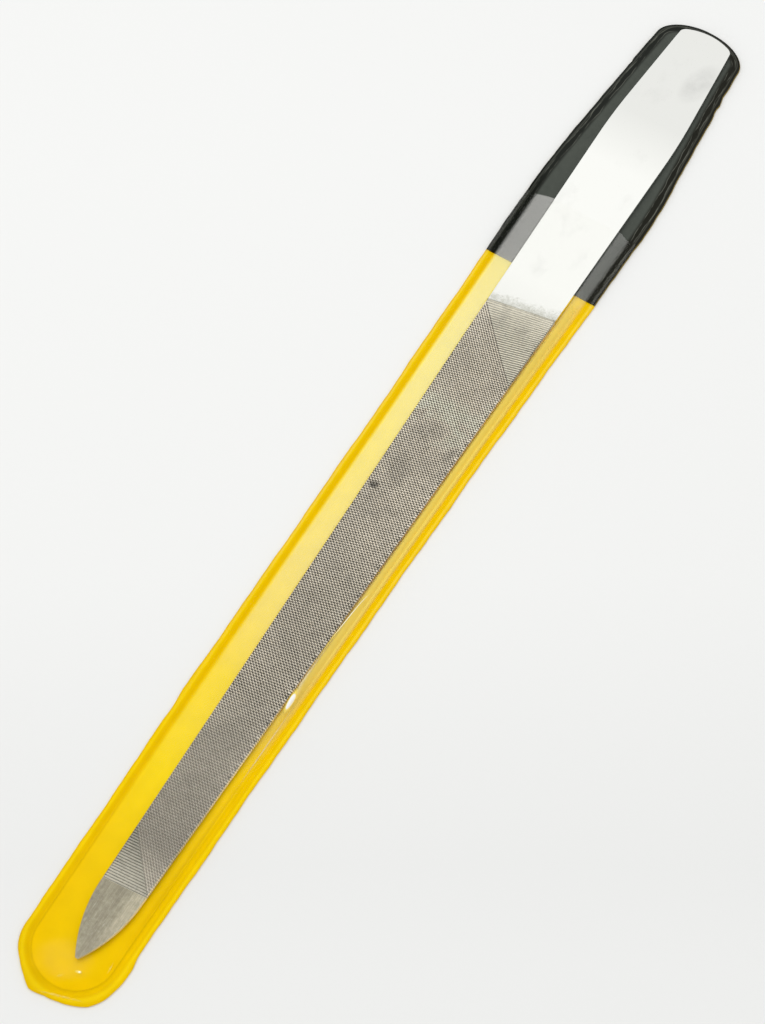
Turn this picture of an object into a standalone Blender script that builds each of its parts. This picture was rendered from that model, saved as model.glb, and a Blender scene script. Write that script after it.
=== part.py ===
"""A steel nail file in its flat welded vinyl sheath.

Metres, +Z up. The sheath lies on its back panel with its length along Y: the closed
end at -Y, the mouth and the file's handle at +Y. The origin is under the middle of the
sheath, on the plane that it lies on. The file slides out of the mouth along +Y.
"""

import math

import bmesh
import bpy

# The file: one blank of flat steel. The widths lie at the ends of its straight tapers
FILE_LENGTH = 0.2000
FILE_THICKNESS = 0.0011
POINT_LENGTH = 0.0120
NOSE_WIDTH = 0.0005
NOSE_THICKNESS = 0.0005
POINT_WIDTH = 0.0074
CUT_TOP_WIDTH = 0.0122
HANDLE_WIDTH = 0.0135
HANDLE_WIDEST_FROM_END = 0.0243
HANDLE_ROUNDING = 0.0050
HANDLE_END_WIDTH = 0.0102
HANDLE_END_BULGE = 0.0013

# The cut: rows of teeth from above the point to below the handle, more tilted as they go
CUT_START = 0.0128
CUT_LENGTH = 0.1194
TOOTH_PITCH = 0.00043
TOOTH_DEPTH = 0.00012
TOOTH_LAND = 0.00009
TOOTH_BACK_SHARE = 0.72
CUT_TILT_LOW = math.radians(7)
CUT_TILT_HIGH = math.radians(13)

# The sheath, outside sizes
SHEATH_LENGTH = 0.2088
SHEATH_END_WIDTH = 0.0174
SHEATH_MIDDLE_WIDTH = 0.0201
SHEATH_SHOULDER_WIDTH = 0.0226
SHEATH_TOP_WIDTH = 0.0171
MIDDLE_FROM_TOP = 0.0980
SHOULDER_FROM_TOP = 0.0408
SHOULDER_ROUNDING = 0.0060
TOP_ROUNDING = 0.0048

# The weld runs round the sheath inside its trimmed edge
FLANGE_WIDTH = 0.0012
WELD_WIDTH = 0.0010
WELD_DEPTH = 0.00010
POCKET_RIM = 0.0004
WELD_END_ROUNDING = 0.0070
WELD_END_MARGIN = 0.00185

# What the shears left outside the weld round the closed end, from the right side to the
# left, as shares of the flange's width. It fades into the side flanges over TRIM_REACH.
END_TRIM_SHARES = (1.32, 1.27, 1.49, 1.6, 1.31, 1.12, 1.18, 1.75, 1.25, 1.08, 1.21, 1.15, 0.99)
TRIM_REACH = 0.0035

# Vinyl sheets, from the bottom up
BACK_THICKNESS = 0.00035
MOUTH_PANEL_THICKNESS = 0.00030
FILM_THICKNESS = 0.00025
MOUTH_PANEL_LENGTH = 0.0612
MOUTH_FROM_TOP = 0.0470
LAP_RAMP = 0.0012
LAP_CLEARANCE = 0.00010

# The file in its sheath
TIP_MARGIN = 0.0075
FILE_OFFSET = 0.0011
SLIDE_CLEARANCE = 0.00015
SIDE_CLEARANCE = 0.00030
FILM_BULGE = 0.00012

# Past the file's nose, where the closed end narrows, the film's roof draws in so that it
# reaches at most this share of the way to the rim
END_ROOF_SHARE = 0.6

# Extra length of anything that cuts, past what it cuts
OVERRUN = 0.0010

# Numbers of steps along curves, and of places along and across the film
POINT_STEPS = 10
HANDLE_STEPS = 6
HANDLE_END_STEPS = 10
SHOULDER_STEPS = 6
ROUND_STEPS = 24
FILM_ROWS = 30
SLOPE_STEPS = 4
ROOF_STEPS = 3

SHEATH_BOTTOM_Y = -SHEATH_LENGTH / 2
SHEATH_TOP_Y = SHEATH_LENGTH / 2
WELD_END_Y = SHEATH_BOTTOM_Y + WELD_END_MARGIN + WELD_END_ROUNDING
MIDDLE_Y = SHEATH_TOP_Y - MIDDLE_FROM_TOP
SHOULDER_Y = SHEATH_TOP_Y - SHOULDER_FROM_TOP
TOP_CORNER_Y = SHEATH_TOP_Y - TOP_ROUNDING
MOUTH_PANEL_Y = SHEATH_TOP_Y - MOUTH_PANEL_LENGTH
MOUTH_Y = SHEATH_TOP_Y - MOUTH_FROM_TOP
LAP_TOP_Y = MOUTH_PANEL_Y - LAP_CLEARANCE
LAP_BOTTOM_Y = LAP_TOP_Y - LAP_RAMP
TIP_Y = SHEATH_BOTTOM_Y + TIP_MARGIN
TOE_Y = TIP_Y + POINT_LENGTH

BACK_TOP_Z = BACK_THICKNESS
MOUTH_PANEL_TOP_Z = BACK_TOP_Z + MOUTH_PANEL_THICKNESS
FILE_BOTTOM_Z = MOUTH_PANEL_TOP_Z + SLIDE_CLEARANCE
FILE_MIDDLE_Z = FILE_BOTTOM_Z + FILE_THICKNESS / 2
FILE_TOP_Z = FILE_BOTTOM_Z + FILE_THICKNESS
ROOF_Z = FILE_TOP_Z + SLIDE_CLEARANCE
NOSE_ROOF_Z = FILE_MIDDLE_Z + NOSE_THICKNESS / 2 + SLIDE_CLEARANCE


def lerp(a, b, t):
    return a + (b - a) * t


def interpolate(x, places):
    """The value at x on straight lines through places, a rising list of (x, value)."""
    for (x0, v0), (x1, v1) in zip(places, places[1:]):
        if x <= x1:
            return lerp(v0, v1, max(0, (x - x0) / (x1 - x0)))
    return places[-1][1]


def rounded_taper(x, places, corner, rounding):
    """As interpolate, but with the corner at the place of that index rounded off."""
    value = interpolate(x, places)
    inside = rounding - abs(x - places[corner][0])
    if inside <= 0:
        return value
    (x0, v0), (x1, v1), (x2, v2) = places[corner - 1 : corner + 2]
    bend = (v2 - v1) / (x2 - x1) - (v1 - v0) / (x1 - x0)
    return value + bend * inside**2 / (4 * rounding)


def steps_round(middle, rounding, steps):
    """Places from one end of a rounded corner to its other end."""
    return [middle + rounding * (2 * i / steps - 1) for i in range(steps + 1)]


def vinyl(name, colour, roughness, alpha=1):
    """A Principled material of one colour."""
    material = bpy.data.materials.new(name)
    material.use_nodes = True
    shader = material.node_tree.nodes["Principled BSDF"]
    shader.inputs["Base Color"].default_value = (*colour, 1)
    shader.inputs["Roughness"].default_value = roughness
    shader.inputs["Metallic"].default_value = 0
    shader.inputs["Alpha"].default_value = alpha
    material.diffuse_color = (*colour, alpha)
    return material


def steel(name):
    material = vinyl(name, (0.62, 0.61, 0.58), 0.35)
    material.node_tree.nodes["Principled BSDF"].inputs["Metallic"].default_value = 1
    return material


def add_object(name, builder, material=None):
    """Turns a finished bmesh into an object."""
    mesh = bpy.data.meshes.new(name)
    bmesh.ops.recalc_face_normals(builder, faces=builder.faces)
    builder.to_mesh(mesh)
    builder.free()
    obj = bpy.data.objects.new(name, mesh)
    if material:
        mesh.materials.append(material)
    bpy.context.scene.collection.objects.link(obj)
    return obj


def plate(name, outline, bottom_z, thickness, material):
    """A flat plate with this outline from above."""
    builder = bmesh.new()
    face = builder.faces.new([builder.verts.new((x, y, bottom_z)) for x, y in outline])
    raised = bmesh.ops.extrude_face_region(builder, geom=[face])["geom"]
    lifted = [item for item in raised if isinstance(item, bmesh.types.BMVert)]
    bmesh.ops.translate(builder, verts=lifted, vec=(0, 0, thickness))
    return add_object(name, builder, material)


def add_bar(builder, ends):
    """A bar between two end faces with the same number of corners."""
    rings = [[builder.verts.new(corner) for corner in end] for end in ends]
    builder.faces.new(rings[0])
    builder.faces.new(rings[1][::-1])
    count = len(rings[0])
    for i in range(count):
        j = (i + 1) % count
        builder.faces.new((rings[0][i], rings[1][i], rings[1][j], rings[0][j]))


# The file


def file_half_width(along):
    """Half the file's width at a distance from its nose."""
    point_half = POINT_WIDTH / 2
    if along < POINT_LENGTH:
        rise = point_half - NOSE_WIDTH / 2
        radius = (POINT_LENGTH**2 + rise**2) / (2 * rise)
        left = POINT_LENGTH - along
        return point_half - radius + math.sqrt(radius**2 - left**2)
    places = [
        (POINT_LENGTH, point_half),
        (CUT_START + CUT_LENGTH, CUT_TOP_WIDTH / 2),
        (FILE_LENGTH - HANDLE_WIDEST_FROM_END, HANDLE_WIDTH / 2),
        (FILE_LENGTH - HANDLE_END_BULGE, HANDLE_END_WIDTH / 2),
    ]
    return rounded_taper(along, places, 2, HANDLE_ROUNDING)


def file_outline():
    """The blank's outline from above, anticlockwise from the nose at the origin."""
    stations = [POINT_LENGTH * i / POINT_STEPS for i in range(POINT_STEPS + 1)]
    stations.append(CUT_START + CUT_LENGTH)
    widest = FILE_LENGTH - HANDLE_WIDEST_FROM_END
    stations += steps_round(widest, HANDLE_ROUNDING, HANDLE_STEPS)
    stations.append(FILE_LENGTH - HANDLE_END_BULGE)
    right = [(file_half_width(along), along) for along in stations]
    half = HANDLE_END_WIDTH / 2
    radius = (half**2 + HANDLE_END_BULGE**2) / (2 * HANDLE_END_BULGE)
    reach = math.asin(half / radius)
    end = []
    for i in range(1, HANDLE_END_STEPS):
        angle = lerp(reach, -reach, i / HANDLE_END_STEPS)
        end.append((radius * math.sin(angle), FILE_LENGTH - radius * (1 - math.cos(angle))))
    left = [(-x, y) for x, y in reversed(right)]
    return right + end + left


def tooth_cutter(name, face_sign):
    """One V groove for each row of teeth, steep towards the handle."""
    surface = face_sign * FILE_THICKNESS / 2
    rows = int(CUT_LENGTH / TOOTH_PITCH)
    above = OVERRUN / 2
    run_per_depth = (TOOTH_PITCH - TOOTH_LAND) / TOOTH_DEPTH
    back_run = run_per_depth * TOOTH_BACK_SHARE
    face_run = run_per_depth - back_run
    profile = [
        (-TOOTH_DEPTH, 0),
        (above, face_run * (TOOTH_DEPTH + above)),
        (above, -back_run * (TOOTH_DEPTH + above)),
    ]
    reach = HANDLE_WIDTH / 2 + OVERRUN
    builder = bmesh.new()
    for row in range(rows):
        share = row / rows
        bottom = CUT_START + CUT_LENGTH * share + back_run * TOOTH_DEPTH
        tilt = face_sign * math.tan(lerp(CUT_TILT_LOW, CUT_TILT_HIGH, share))
        ends = []
        for x in (-reach, reach):
            ends.append([(x, bottom + y + x * tilt, surface + face_sign * z) for z, y in profile])
        add_bar(builder, ends)
    return add_object(name, builder)


def point_grind(name, face_sign):
    """A wedge that thins the point from one face, down to the nose."""
    surface = face_sign * FILE_THICKNESS / 2
    drop = face_sign * (FILE_THICKNESS - NOSE_THICKNESS) / 2
    beyond = drop * OVERRUN / POINT_LENGTH
    outside = surface + face_sign * OVERRUN
    profile = [
        (-OVERRUN, surface - drop - beyond),
        (POINT_LENGTH, surface),
        (POINT_LENGTH, outside),
        (-OVERRUN, outside),
    ]
    reach = POINT_WIDTH / 2 + OVERRUN
    builder = bmesh.new()
    add_bar(builder, [[(x, y, z) for y, z in profile] for x in (-reach, reach)])
    return add_object(name, builder)


def add_nail_file():
    outline = file_outline()
    material = steel("ground_steel")
    blade = plate("nail_file", outline, -FILE_THICKNESS / 2, FILE_THICKNESS, material)
    blade.location = (FILE_OFFSET, TIP_Y, FILE_MIDDLE_Z)
    cutters = [point_grind("top_grind", 1), point_grind("under_grind", -1)]
    cutters += [tooth_cutter("top_teeth", 1), tooth_cutter("under_teeth", -1)]
    for cutter in cutters:
        cutter.parent = blade
        cutter.hide_render = True
        cutter.display_type = "WIRE"
        cut = blade.modifiers.new(cutter.name, "BOOLEAN")
        cut.operation = "DIFFERENCE"
        cut.solver = "EXACT"
        cut.object = cutter


# The sheath


def weld_half_width(y):
    """Half the distance between the two long welds."""
    places = [
        (WELD_END_Y, SHEATH_END_WIDTH / 2 - FLANGE_WIDTH),
        (MIDDLE_Y, SHEATH_MIDDLE_WIDTH / 2 - FLANGE_WIDTH),
        (SHOULDER_Y, SHEATH_SHOULDER_WIDTH / 2 - FLANGE_WIDTH),
        (TOP_CORNER_Y, SHEATH_TOP_WIDTH / 2 - FLANGE_WIDTH),
    ]
    return rounded_taper(y, places, 2, SHOULDER_ROUNDING)


def trim_share(angle):
    """The trimmed width round the closed end, angle 0 at the right side and pi at the left."""
    steps = len(END_TRIM_SHARES) - 1
    places = [(math.pi * i / steps, share) for i, share in enumerate(END_TRIM_SHARES)]
    return interpolate(angle, places)


def side_point(side, y, inward):
    """A point beside a long weld, side 1 on the right. The edge is at -FLANGE_WIDTH inward."""
    if inward == -FLANGE_WIDTH:
        end_share = trim_share(0 if side > 0 else math.pi)
        fade = [(WELD_END_Y + TRIM_REACH / 2, end_share), (WELD_END_Y + TRIM_REACH, 1)]
        inward *= interpolate(y, fade)
    return side * (weld_half_width(y) - inward), y


def end_point(angle, inward):
    """A point beside the weld round the closed end."""
    if inward == -FLANGE_WIDTH:
        inward *= trim_share(angle)
    across = weld_half_width(WELD_END_Y) - inward
    down = WELD_END_ROUNDING - inward
    return across * math.cos(angle), WELD_END_Y - down * math.sin(angle)


def top_point(angle, inward):
    """A point beside the weld round the open end."""
    across = weld_half_width(TOP_CORNER_Y) - inward
    up = TOP_ROUNDING - FLANGE_WIDTH - inward
    return across * math.cos(angle), TOP_CORNER_Y + up * math.sin(angle)


def side_stations():
    """Places along a long side where its line bends, from the closed end to the open one."""
    fade = [WELD_END_Y, WELD_END_Y + TRIM_REACH / 2, WELD_END_Y + TRIM_REACH]
    shoulder = steps_round(SHOULDER_Y, SHOULDER_ROUNDING, SHOULDER_STEPS)
    return fade + [MIDDLE_Y] + shoulder + [TOP_CORNER_Y]


def quarter_turn():
    """Angles from a side of an end to its middle, without either."""
    return [math.pi * i / ROUND_STEPS for i in range(1, ROUND_STEPS // 2)]


def rim_places(bottom_z, thickness):
    """Places across the welded rim, from its edge inwards: (inward, bottom z, top z)."""
    top_z = bottom_z + thickness
    half = WELD_WIDTH / 2
    return [
        (-FLANGE_WIDTH, bottom_z, top_z),
        (-half, bottom_z, top_z),
        (-half / 2, bottom_z, top_z - WELD_DEPTH),
        (half / 2, bottom_z, top_z - WELD_DEPTH),
        (half, bottom_z, top_z),
        (half + POCKET_RIM, bottom_z, top_z),
    ]


def rim_row(rim, point, *where):
    """One side's places of a row, from the edge inwards: (x, y, bottom z, top z)."""
    return [(*point(*where, inward), z0, z1) for inward, z0, z1 in rim]


def sheet(name, rows, spine, material):
    """A closed sheet from rows of (x, y, bottom z, top z), each from the left to the right.

    With a spine, the rows lead to a rounded end, and the spine runs inwards from the edge of
    that end, at its middle. Without one, the sheet ends at its last row.
    """
    builder = bmesh.new()

    def pair(place):
        x, y, bottom_z, top_z = place
        return builder.verts.new((x, y, top_z)), builder.verts.new((x, y, bottom_z))

    grid = [[pair(place) for place in row] for row in rows]
    spine = [pair(place) for place in spine]
    cells = []
    for one, two in zip(grid, grid[1:]):
        for j in range(len(one) - 1):
            cells.append((one[j], one[j + 1], two[j + 1], two[j]))
    last = grid[-1]
    edge = grid[0] + [row[-1] for row in grid[1:]]
    if spine:
        for half in (last, last[::-1]):
            for k in range(len(spine) - 1):
                cells.append((half[k], half[k + 1], spine[k + 1], spine[k]))
        for j in range(len(spine) - 1, len(last) - len(spine)):
            cells.append((last[j], last[j + 1], spine[-1]))
        edge.append(spine[0])
    else:
        edge += last[-2:0:-1]
    edge += [row[0] for row in reversed(grid[1:])]
    for cell in cells:
        builder.faces.new([top for top, _ in cell])
        builder.faces.new([bottom for _, bottom in cell][::-1])
    for (top0, bottom0), (top1, bottom1) in zip(edge, edge[1:] + edge[:1]):
        builder.faces.new((top0, top1, bottom1, bottom0))
    return add_object(name, builder, material)


def add_back_panel():
    """The full-length panel that the rest is welded to."""
    edge = -FLANGE_WIDTH
    quarter = quarter_turn()
    half_turn = quarter + [math.pi / 2] + [math.pi - angle for angle in reversed(quarter)]
    stations = side_stations()
    right = [side_point(1, y, edge) for y in stations]
    top = [top_point(angle, edge) for angle in half_turn]
    left = [side_point(-1, y, edge) for y in reversed(stations)]
    end = [end_point(angle, edge) for angle in reversed(half_turn)]
    material = vinyl("yellow_vinyl", (0.90, 0.58, 0.01), 0.35)
    plate("back_panel", right + top + left + end, 0, BACK_THICKNESS, material)


def add_mouth_panel():
    """The black panel over the back panel, from its straight lower edge to the open end."""
    rim = rim_places(BACK_TOP_Z, MOUTH_PANEL_THICKNESS)
    rows = []
    for y in [MOUTH_PANEL_Y] + [y for y in side_stations() if y > MOUTH_PANEL_Y]:
        left = rim_row(rim, side_point, -1, y)
        right = rim_row(rim, side_point, 1, y)
        rows.append(left + right[::-1])
    for angle in quarter_turn():
        left = rim_row(rim, top_point, math.pi - angle)
        right = rim_row(rim, top_point, angle)
        rows.append(left + right[::-1])
    spine = rim_row(rim, top_point, math.pi / 2)
    sheet("mouth_panel", rows, spine, vinyl("black_vinyl", (0.018, 0.019, 0.017), 0.30))


def film_bottom_z(y):
    """The film's rim lies on the back panel, and steps up where it laps the mouth panel."""
    return interpolate(y, [(LAP_BOTTOM_Y, BACK_TOP_Z), (LAP_TOP_Y, MOUTH_PANEL_TOP_Z)])


def film_roof_z(y):
    """The film's underside over the file: it falls to its rim past the file's nose."""
    rim_end_y = WELD_END_Y - WELD_END_ROUNDING + WELD_WIDTH / 2 + POCKET_RIM
    places = [(rim_end_y, BACK_TOP_Z), (TIP_Y, NOSE_ROOF_Z), (TIP_Y + POINT_LENGTH, ROOF_Z)]
    return interpolate(y, places)


def film_over_file(left, right):
    """The film's places between the inner ends of its rims: up, over the file and down."""
    x0, y, base, _ = left
    x1 = right[0]
    half_roof = file_half_width(max(0, y - TIP_Y)) + SIDE_CLEARANCE
    middle = FILE_OFFSET
    if y < TIP_Y:
        fit = min(1, END_ROOF_SHARE * x1 / (middle + half_roof))
        half_roof *= fit
        middle *= fit
    rise = film_roof_z(y) - base
    bulge = FILM_BULGE * rise / ROOF_Z
    up_slope = []
    down_slope = []
    for i in range(1, SLOPE_STEPS + 1):
        t = i / SLOPE_STEPS
        z = base + rise * t + bulge * math.sin(math.pi * t)
        up_slope.append((lerp(x0, middle - half_roof, t), z))
        down_slope.append((lerp(x1, middle + half_roof, t), z))
    roof = []
    for i in range(1, ROOF_STEPS):
        roof.append((middle + half_roof * (2 * i / ROOF_STEPS - 1), base + rise))
    across = up_slope + roof + down_slope[::-1]
    return [(x, y, z, z + FILM_THICKNESS) for x, z in across]


def add_front_film():
    """The clear film, from its straight edge at the mouth to the closed end.

    It is one film, made as four solids that meet face to face, so that the pocket stays open
    between their hulls: a side at the left and at the right, the roof over the file, and
    the toe round the file's point.
    """
    stations = [LAP_TOP_Y, LAP_BOTTOM_Y, MOUTH_Y, TOE_Y]
    stations += [y for y in side_stations() if y < MOUTH_Y]
    stations += [lerp(LAP_BOTTOM_Y, WELD_END_Y, i / FILM_ROWS) for i in range(1, FILM_ROWS)]
    halves = []
    for y in sorted(stations, reverse=True):
        rim = rim_places(film_bottom_z(y), FILM_THICKNESS)
        halves.append((rim_row(rim, side_point, -1, y), rim_row(rim, side_point, 1, y)))
    toe = sorted(stations, reverse=True).index(TOE_Y)
    rim = rim_places(BACK_TOP_Z, FILM_THICKNESS)
    for angle in quarter_turn():
        left = rim_row(rim, end_point, math.pi - angle)
        halves.append((left, rim_row(rim, end_point, angle)))
    rows = []
    for left, right in halves:
        rows.append(left + film_over_file(left[-1], right[-1]) + right[::-1])
    spine = rim_row(rim, end_point, math.pi / 2)
    clear = vinyl("clear_vinyl", (0.95, 0.95, 0.93), 0.12, 0.25)
    side = len(rim) + SLOPE_STEPS
    upper = rows[: toe + 1]
    sheet("front_film_left", [row[:side] for row in upper], [], clear)
    sheet("front_film_roof", [row[side - 1 : 1 - side] for row in upper], [], clear)
    sheet("front_film_right", [row[-side:] for row in upper], [], clear)
    sheet("front_film_toe", rows[toe:], spine, clear)


def main():
    for obj in list(bpy.data.objects):
        bpy.data.objects.remove(obj)
    add_back_panel()
    add_mouth_panel()
    add_front_film()
    add_nail_file()


main()
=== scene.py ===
"""The looks of a steel nail file in its flat welded vinyl sheath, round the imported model.

Shapes are worked out in millimetres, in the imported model's frame: the sheath lies on its
back with its closed end at -Y, and the file's handle is at +Y. Each piece follows the lines
of the CAD nodes that it stands for.
"""

import math
import random

import bpy
from mathutils import Matrix, Vector


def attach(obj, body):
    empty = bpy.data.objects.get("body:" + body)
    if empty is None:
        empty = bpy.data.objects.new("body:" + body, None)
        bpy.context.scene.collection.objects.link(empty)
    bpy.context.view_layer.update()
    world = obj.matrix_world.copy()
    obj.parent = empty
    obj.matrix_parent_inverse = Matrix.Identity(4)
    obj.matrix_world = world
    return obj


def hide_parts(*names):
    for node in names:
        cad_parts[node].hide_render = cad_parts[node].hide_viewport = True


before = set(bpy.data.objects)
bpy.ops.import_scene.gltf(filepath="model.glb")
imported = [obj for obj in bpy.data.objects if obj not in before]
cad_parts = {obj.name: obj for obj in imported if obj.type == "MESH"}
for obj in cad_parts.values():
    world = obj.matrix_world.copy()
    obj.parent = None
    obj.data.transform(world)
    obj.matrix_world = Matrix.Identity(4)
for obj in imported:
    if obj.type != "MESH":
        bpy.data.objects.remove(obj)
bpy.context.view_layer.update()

MM = 0.001

# The file's blank, as in the CAD model
FILE_LENGTH = 200.0
FILE_THICKNESS = 1.1
POINT_LENGTH = 12.0
NOSE_WIDTH = 0.5
NOSE_THICKNESS = 0.5
POINT_WIDTH = 7.4
CUT_TOP_WIDTH = 12.2
CUT_TOP = 132.2
HANDLE_WIDTH = 13.5
HANDLE_WIDEST = 175.7
HANDLE_ROUNDING = 5.0
HANDLE_END_WIDTH = 10.2
HANDLE_END_BULGE = 1.3
FILE_OFFSET = 1.1
TIP_Y = -96.9
FILE_MIDDLE_Z = 1.35

# The sheath, as in the CAD model
WELD_END_Y = -95.55
MIDDLE_Y = 6.4
SHOULDER_Y = 63.6
TOP_CORNER_Y = 99.6
MOUTH_PANEL_Y = 43.2
MOUTH_Y = 57.4
FLANGE_WIDTH = 1.2
SHOULDER_ROUNDING = 6.0
TOP_ROUNDING = 4.8
WELD_END_ROUNDING = 7.0
END_TRIM_SHARES = (1.32, 1.27, 1.49, 1.6, 1.31, 1.12, 1.18, 1.75, 1.25, 1.08, 1.21, 1.15, 0.99)
TRIM_REACH = 3.5
BACK_THICKNESS = 0.35
MOUTH_PANEL_THICKNESS = 0.30
FILM_THICKNESS = 0.25
LAP_RAMP = 1.2
LAP_CLEARANCE = 0.1
LAP_TOP_Y = MOUTH_PANEL_Y - LAP_CLEARANCE
LAP_BOTTOM_Y = LAP_TOP_Y - LAP_RAMP
ROOF_Z = 2.05
NOSE_ROOF_Z = 1.75
SIDE_CLEARANCE = 0.30
END_ROOF_SHARE = 0.6

# The cut of the teeth: their rows' tilt along the file, and the second set across them
CUT_START = 12.8
TOOTH_PITCH = 0.43
TOOTH_DEPTH = 0.12
TOOTH_FACE = 0.095
TOOTH_LAND = 0.09
ROW_TILTS = [
    (12.8, 6), (36, 7), (54, 10.5), (70, 17), (90, 17.5), (112, 16), (125, 15), (132.2, 10.5),
]
ROW_DEPTHS = [(12.8, 0.8), (20, 1), (118, 1), (126, 0.95), (132.2, 0.6)]
CROSS_TILTS = [(20, -47.5), (54, -44.5), (90, -42), (126, -47)]
CROSS_PITCH = 0.594
CROSS_DEPTH = 0.12
CROSS_START = 17.4
CROSS_END = 123.9


def lerp(a, b, t):
    return a + (b - a) * t


def interpolate(x, places):
    """The value at x on straight lines through places, a rising list of (x, value)."""
    for (x0, v0), (x1, v1) in zip(places, places[1:]):
        if x <= x1:
            return lerp(v0, v1, max(0, (x - x0) / (x1 - x0)))
    return places[-1][1]


def rounded_taper(x, places, corner, rounding):
    """As interpolate, but with the corner at the place of that index rounded off."""
    value = interpolate(x, places)
    inside = rounding - abs(x - places[corner][0])
    if inside <= 0:
        return value
    (x0, v0), (x1, v1), (x2, v2) = places[corner - 1 : corner + 2]
    bend = (v2 - v1) / (x2 - x1) - (v1 - v0) / (x1 - x0)
    return value + bend * inside**2 / (4 * rounding)


def smooth_min(a, b, reach):
    """The lower of two heights, with the corner between them rounded."""
    share = max(reach - abs(a - b), 0) / reach
    return min(a, b) - share * share * reach / 4


def ripples(seed, waves):
    """A smooth random line: a sum of sine waves, each (length, height)."""
    chance = random.Random(seed)
    parts = [(math.tau / length, chance.uniform(0, math.tau), height) for length, height in waves]
    return lambda t: sum(height * math.sin(turn * t + start) for turn, start, height in parts)


def hump(x, middle, reach):
    """1 at the middle, falling smoothly to 0 at reach from it."""
    share = min(1, abs(x - middle) / reach)
    return (1 + math.cos(math.pi * share)) / 2


class Maker:
    """Collects a mesh in millimetres: points, faces and a few numbers at each point."""

    def __init__(self, *mark_names):
        self.mark_names = mark_names
        self.points = []
        self.marks = []
        self.faces = []
        self.smooth = []

    def point(self, x, y, z, *marks):
        self.points.append((x * MM, y * MM, z * MM))
        self.marks.append(marks)
        return len(self.points) - 1

    def face(self, corners, smooth=True):
        if len(set(corners)) == len(corners):
            self.faces.append(corners)
            self.smooth.append(smooth)

    def strip(self, low, high, smooth=True):
        """Triangles between two chains of (key, point), both from the left to the right."""
        i = j = 0
        while i < len(low) - 1 or j < len(high) - 1:
            last_high = j == len(high) - 1
            if last_high or (i < len(low) - 1 and low[i + 1][0] <= high[j + 1][0]):
                self.face((low[i][1], low[i + 1][1], high[j][1]), smooth)
                i += 1
            else:
                self.face((low[i][1], high[j + 1][1], high[j][1]), smooth)
                j += 1

    def make(self, name, material, sharp=math.radians(40)):
        mesh = bpy.data.meshes.new(name)
        mesh.from_pydata(self.points, [], self.faces)
        mesh.polygons.foreach_set("use_smooth", self.smooth)
        mesh.set_sharp_from_angle(angle=sharp)
        for mark_name, values in zip(self.mark_names, zip(*self.marks)):
            mesh.attributes.new(mark_name, "FLOAT", "POINT").data.foreach_set("value", values)
        mesh.materials.append(material)
        mesh.validate()
        obj = bpy.data.objects.new(name, mesh)
        bpy.context.scene.collection.objects.link(obj)
        return obj


# The file


def blade_half_width(along):
    """Half the file's width at a distance from its nose."""
    point_half = POINT_WIDTH / 2
    if along < POINT_LENGTH:
        rise = point_half - NOSE_WIDTH / 2
        radius = (POINT_LENGTH**2 + rise**2) / (2 * rise)
        return point_half - radius + math.sqrt(radius**2 - (POINT_LENGTH - along) ** 2)
    places = [
        (POINT_LENGTH, point_half),
        (CUT_TOP, CUT_TOP_WIDTH / 2),
        (HANDLE_WIDEST, HANDLE_WIDTH / 2),
        (FILE_LENGTH - HANDLE_END_BULGE, HANDLE_END_WIDTH / 2),
    ]
    return rounded_taper(along, places, 2, HANDLE_ROUNDING)


# Places across the file's edge, from its face outwards: (inset from the outline, drop)
EDGE_RINGS = [(0.07, 0.0), (0.025, 0.02), (0.0, 0.08)]
# The least cut mark along the edge of the teeth, which the paint shows as a dark line of painted
# shade
EDGE_SHADE = 0.55
TOOTH_JITTER = 0.006
POINT_LINES = 12
POINT_FLAT = 0.3
HANDLE_LINES = 26
HANDLE_COLUMNS = 12
# The last line across lies this far from the handle's end
END_LENGTH = 3.2
END_POINTS = 28
END_CORNER = 0.9
END_CORNER_DROP = 0.6


def half_thickness(along):
    """The grinds thin the point towards the nose."""
    return lerp(NOSE_THICKNESS, FILE_THICKNESS, min(1, along / (CUT_START - POINT_FLAT))) / 2


def outline_side(side, along):
    """A point of the outline on one side, and the direction outwards there."""
    step = 0.01
    grow = (blade_half_width(along + step) - blade_half_width(along)) / step
    out = Vector((side, -grow)).normalized()
    return Vector((side * blade_half_width(along), along)), out


def outline_end():
    """The handle's end from its right side to its left, with its corners rounded."""
    half = HANDLE_END_WIDTH / 2
    radius = (half**2 + HANDLE_END_BULGE**2) / (2 * HANDLE_END_BULGE)
    points = []
    for i in range(END_POINTS + 1):
        x = half * math.cos(math.pi * i / END_POINTS)
        along = FILE_LENGTH - radius + math.sqrt(radius**2 - x**2)
        corner = min(1, max(0, abs(x) - (half - END_CORNER)) / END_CORNER)
        along -= END_CORNER * (1 - math.sqrt(1 - corner**2)) * END_CORNER_DROP
        points.append(Vector((x, along)))
    places = []
    for i, point in enumerate(points):
        before = points[max(0, i - 1)]
        after = points[min(END_POINTS, i + 1)]
        run = (after - before).normalized()
        places.append((point, Vector((run.y, -run.x))))
    return places


def tooth_lines():
    """The rows of teeth, from the lowest: (place on the middle line, slope, depth share)."""
    lines = []
    along = CUT_START
    while along < CUT_TOP - TOOTH_FACE - TOOTH_LAND:
        tilt = math.radians(interpolate(along, ROW_TILTS))
        pitch = TOOTH_PITCH / math.cos(tilt)
        slope = math.tan(tilt)
        lines.append((along, slope, interpolate(along, ROW_DEPTHS)))
        lines.append((along + TOOTH_FACE, slope, 0.0))
        lines.append((along + TOOTH_FACE + TOOTH_LAND, slope, 0.0))
        along += pitch
    return lines


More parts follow.
